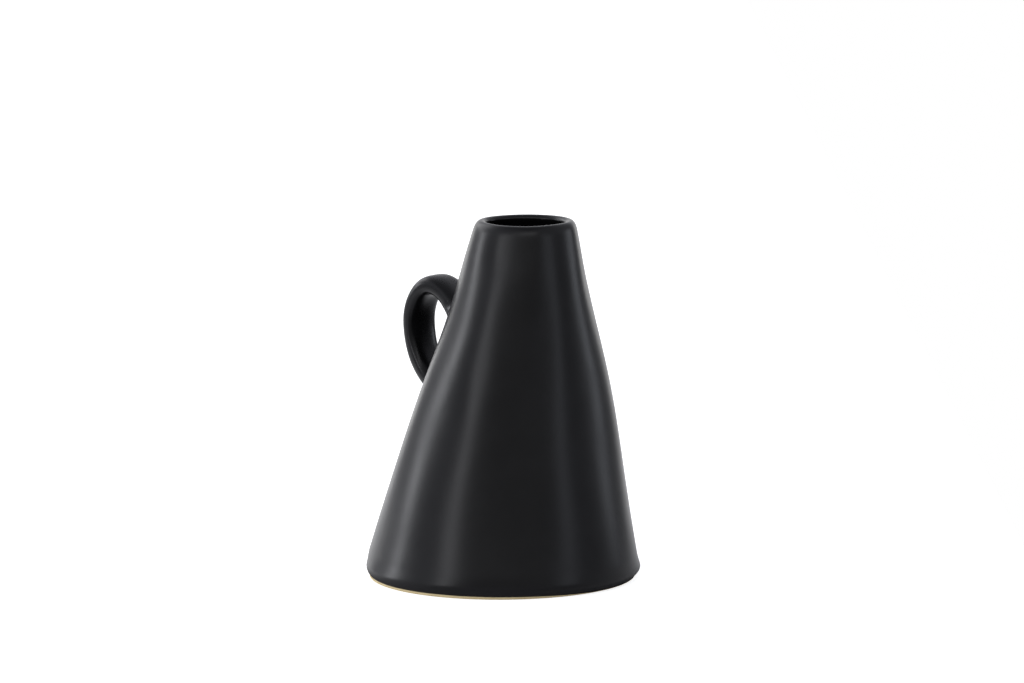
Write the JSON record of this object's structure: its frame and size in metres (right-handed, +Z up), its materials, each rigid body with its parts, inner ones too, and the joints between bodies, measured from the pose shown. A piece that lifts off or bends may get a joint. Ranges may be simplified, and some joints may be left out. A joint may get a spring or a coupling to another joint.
{
  "type": "handled vase",
  "caption": "Hand-formed satin black stoneware vase: a tall leaning cone with a rolled lip, a small ear-shaped strap handle and a bare clay foot.",
  "frame": {"origin": "centre of the foot, on the table", "axes": "+Z up through the mouth; the handle is on the -X side and the vase leans towards +X; +Y completes a right-handed frame"},
  "size_m": [0.1532, 0.1529, 0.202],
  "materials": {
    "glaze": "satin black",
    "bare_clay": "bare fired buff stoneware, matt"
  },
  "bodies": {
    "root": {"foot_ring": "bare_clay", "floor": "glaze", "wall": "glaze", "lip_roll": "glaze", "handle": "glaze", "lower_lute": "glaze", "upper_lute": "glaze"}
  },
  "joints": []
}
